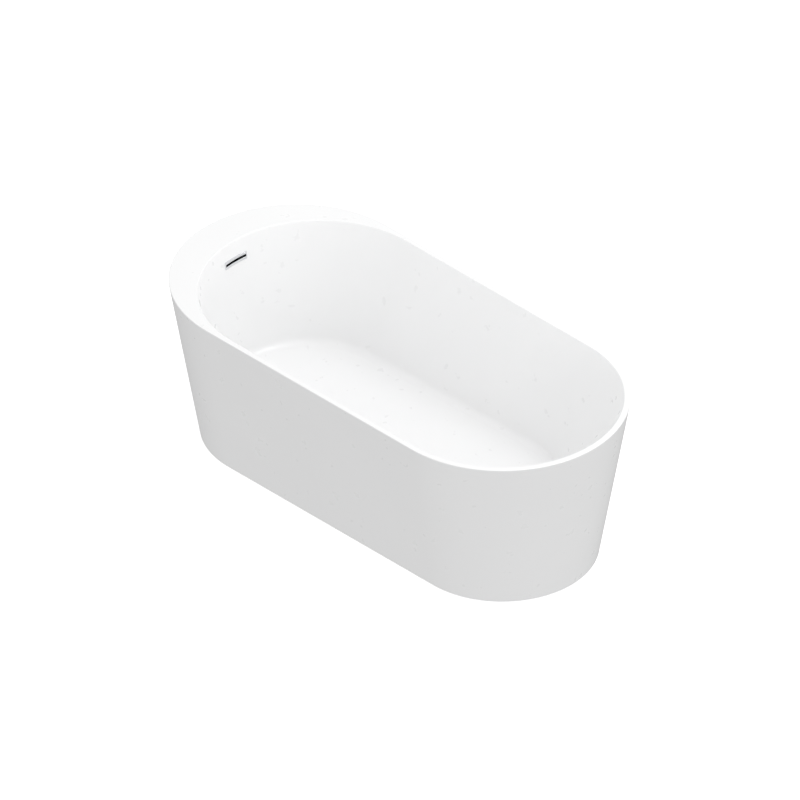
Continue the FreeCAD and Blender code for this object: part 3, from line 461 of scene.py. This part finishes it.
def plastic(name, color, rough, scale, lift_by=1.06, bumpiness=0.08):
    m, nt, bsdf = material(name, color, rough, 0.0)
    vec = place_coords(nt)
    f = noise(nt, vec, scale, 3.0)
    nt.links.new(ramp(nt, f, [(0.3, color), (0.7, tuple(min(1.0, c * lift_by) for c in color))]), bsdf.inputs["Base Color"])
    nt.links.new(spread(nt, noise(nt, vec, scale * 4, 3.0), rough * 0.85, min(1.0, rough * 1.15)), bsdf.inputs["Roughness"])
    bump(nt, bsdf, noise(nt, vec, 900.0, 2.0), bumpiness, 0.0002)
    return m


def zinc():
    m, nt, bsdf = material("zinc_plate", (0.62, 0.64, 0.66), 0.38, 1.0)
    vec = place_coords(nt)
    v = nt.nodes.new("ShaderNodeTexVoronoi")
    v.inputs["Scale"].default_value = 120.0
    nt.links.new(vec, v.inputs["Vector"])
    nt.links.new(ramp(nt, v.outputs["Distance"], [(0.0, (0.53, 0.55, 0.57)), (0.6, (0.68, 0.69, 0.7))]), bsdf.inputs["Base Color"])
    nt.links.new(spread(nt, noise(nt, vec, 60.0, 5.0), 0.3, 0.5), bsdf.inputs["Roughness"])
    return m


def board():
    m, nt, bsdf = material("particle_board", (0.6, 0.46, 0.29), 0.85)
    vec = place_coords(nt, (1, 1, 3))
    v = nt.nodes.new("ShaderNodeTexVoronoi")
    v.inputs["Scale"].default_value = 260.0
    nt.links.new(vec, v.inputs["Vector"])
    nt.links.new(ramp(nt, v.outputs["Color"], [(0.1, (0.42, 0.3, 0.17)), (0.5, (0.6, 0.46, 0.29)), (0.9, (0.74, 0.61, 0.42))]),
                 bsdf.inputs["Base Color"])
    bump(nt, bsdf, v.outputs["Distance"], 0.3, 0.001)
    return m


def resin():
    m, nt, bsdf = material("laminating_resin", (0.66, 0.6, 0.44), 0.45)
    vec = place_coords(nt)
    w = nt.nodes.new("ShaderNodeTexWave")
    w.inputs["Scale"].default_value = 40.0
    w.inputs["Distortion"].default_value = 14.0
    w.inputs["Detail"].default_value = 4.0
    nt.links.new(vec, w.inputs["Vector"])
    nt.links.new(ramp(nt, w.outputs["Fac"], [(0.2, (0.6, 0.54, 0.38)), (0.8, (0.72, 0.67, 0.52))]), bsdf.inputs["Base Color"])
    nt.links.new(spread(nt, noise(nt, vec, 30.0, 4.0), 0.35, 0.6), bsdf.inputs["Roughness"])
    bump(nt, bsdf, w.outputs["Fac"], 0.4, 0.001)
    return m


def hose():
    m, nt, bsdf = material("ribbed_hose", (0.36, 0.37, 0.38), 0.5)
    vec = place_coords(nt)
    w = nt.nodes.new("ShaderNodeTexWave")
    w.inputs["Scale"].default_value = 80.0
    w.bands_direction = "DIAGONAL"
    nt.links.new(vec, w.inputs["Vector"])
    nt.links.new(ramp(nt, w.outputs["Fac"], [(0.0, (0.28, 0.29, 0.3)), (1.0, (0.42, 0.43, 0.44))]), bsdf.inputs["Base Color"])
    nt.links.new(spread(nt, noise(nt, vec, 50.0, 3.0), 0.4, 0.6), bsdf.inputs["Roughness"])
    bump(nt, bsdf, w.outputs["Fac"], 0.5, 0.001)
    return m


WHITE = acrylic()
LOOKS = {
    "white_acrylic": WHITE,
    "chrome": metal("polished_chrome", (0.82, 0.83, 0.85), 0.07, 9.0, 0.0, 0.97),
    "brass": metal("turned_brass", (0.74, 0.55, 0.27), 0.28, 90.0),
    "zinc_steel": zinc(),
    "seal_rubber": plastic("black_rubber", (0.022, 0.022, 0.023), 0.7, 60.0, 1.4, 0.15),
    "white_plastic": plastic("moulded_white", (0.74, 0.74, 0.73), 0.42, 20.0),
    "dark_plastic": plastic("moulded_dark", (0.012, 0.012, 0.013), 0.6, 20.0, 1.3),
    "foot_plastic": plastic("moulded_black", (0.035, 0.035, 0.038), 0.5, 40.0, 1.3),
    "grey_hose": hose(),
    "board": board(),
    "resin": resin(),
}
slot_of = {row["node"]: row["material_slot"] for row in frame["record"]["subparts"]}
slot_of["overflow_box"] = "dark_plastic"
for name, obj in nodes.items():
    look = LOOKS[slot_of[name]]
    obj.data.materials.clear()
    obj.data.materials.append(look)

for piece, node, slot, look in ((basin, "basin", "white_acrylic", WHITE), (skirt, "skirt", "white_acrylic", WHITE),
                                (trim, "overflow_trim", slot_of["overflow_trim"], LOOKS["chrome"])):
    piece.data.materials.append(look)
    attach(piece, "tub")
    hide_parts(node)

# ------------------------------------------------------------------ stage, light and camera
floor_size = 40.0
floor_mesh = bpy.data.meshes.new("stage_floor")
floor_mesh.from_pydata([(-floor_size, -floor_size, 0), (floor_size, -floor_size, 0), (floor_size, floor_size, 0),
                        (-floor_size, floor_size, 0)], [], [(0, 1, 2, 3)])
stage = bpy.data.objects.new("stage_floor", floor_mesh)
bpy.context.scene.collection.objects.link(stage)
pale, pale_nt, pale_bsdf = material("stage_white", (0.6, 0.6, 0.6), 0.9)
pale_bsdf.inputs["Specular IOR Level"].default_value = 0.0
pale_bsdf.inputs["Emission Color"].default_value = (1, 1, 1, 1)
pale_bsdf.inputs["Emission Strength"].default_value = 0.7
stage.data.materials.append(pale)
stage.visible_diffuse = False
stage.visible_glossy = False
stage.visible_shadow = False

world = bpy.data.worlds.new("studio")
bpy.context.scene.world = world
world.use_nodes = True
wnt = world.node_tree
background = wnt.nodes["Background"]
direction = wnt.nodes.new("ShaderNodeTexCoord")
split = wnt.nodes.new("ShaderNodeSeparateXYZ")
wnt.links.new(direction.outputs["Generated"], split.inputs[0])
dome = wnt.nodes.new("ShaderNodeMapRange")
dome.interpolation_type = "SMOOTHSTEP"
dome.inputs["From Min"].default_value = -0.06
dome.inputs["From Max"].default_value = 0.06
dome.inputs["To Min"].default_value = 0.53
dome.inputs["To Max"].default_value = 0.975
wnt.links.new(split.outputs["Z"], dome.inputs["Value"])
# the far side of the studio is a little dimmer, which draws the far rim
facing = wnt.nodes.new("ShaderNodeVectorMath")
facing.operation = "DOT_PRODUCT"
facing.inputs[1].default_value = (-0.60302, 0.60302, 0.52223)
wnt.links.new(direction.outputs["Generated"], facing.inputs[0])
dip = wnt.nodes.new("ShaderNodeMapRange")
dip.interpolation_type = "SMOOTHSTEP"
dip.inputs["From Min"].default_value = 0.15
dip.inputs["From Max"].default_value = 0.85
dip.inputs["To Min"].default_value = 1.0
dip.inputs["To Max"].default_value = 0.82
wnt.links.new(facing.outputs["Value"], dip.inputs["Value"])
level = wnt.nodes.new("ShaderNodeMath")
level.operation = "MULTIPLY"
wnt.links.new(dome.outputs[0], level.inputs[0])
wnt.links.new(dip.outputs[0], level.inputs[1])
wnt.links.new(level.outputs[0], background.inputs["Strength"])
background.inputs[0].default_value = (1, 1, 1, 1)


def softbox(name, where, at, size, power):
    light = bpy.data.lights.new(name, "AREA")
    light.shape = "RECTANGLE"
    light.size, light.size_y = size
    light.energy = power
    obj = bpy.data.objects.new(name, light)
    bpy.context.scene.collection.objects.link(obj)
    obj.location = where
    obj.rotation_mode = "QUATERNION"
    obj.rotation_quaternion = (Vector(at) - Vector(where)).to_track_quat("-Z", "Y")
    return obj


softbox("key", (2.2, 1.5, 5.3), (0, 0, 0.3), (2.6, 2.6), 76.0)
softbox("side", (7.0, -3.2, 1.2), (0, 0, 0.3), (3.0, 3.0), 39.0)

right = Vector((0.70711, 0.70711, 0.0))
over = Vector((-0.40825, 0.40825, 0.81650))
back = Vector((0.57735, -0.57735, 0.57735))
aim = Vector((0, 0, 0.570)) + right * 0.00111 - over * 0.19516
camera_data = bpy.data.cameras.new("camera")
camera_data.type = "ORTHO"
camera_data.ortho_scale = 2.4853
camera = bpy.data.objects.new("camera", camera_data)
bpy.context.scene.collection.objects.link(camera)
camera.rotation_mode = "QUATERNION"
camera.rotation_quaternion = back.to_track_quat("Z", "Y")
camera.location = aim + back * 6.0
camera_data.clip_end = 60
bpy.context.scene.camera = camera
bpy.context.scene.view_settings.view_transform = "Standard"
bpy.context.scene.view_settings.look = "None"
bpy.context.scene.view_settings.exposure = 0.0
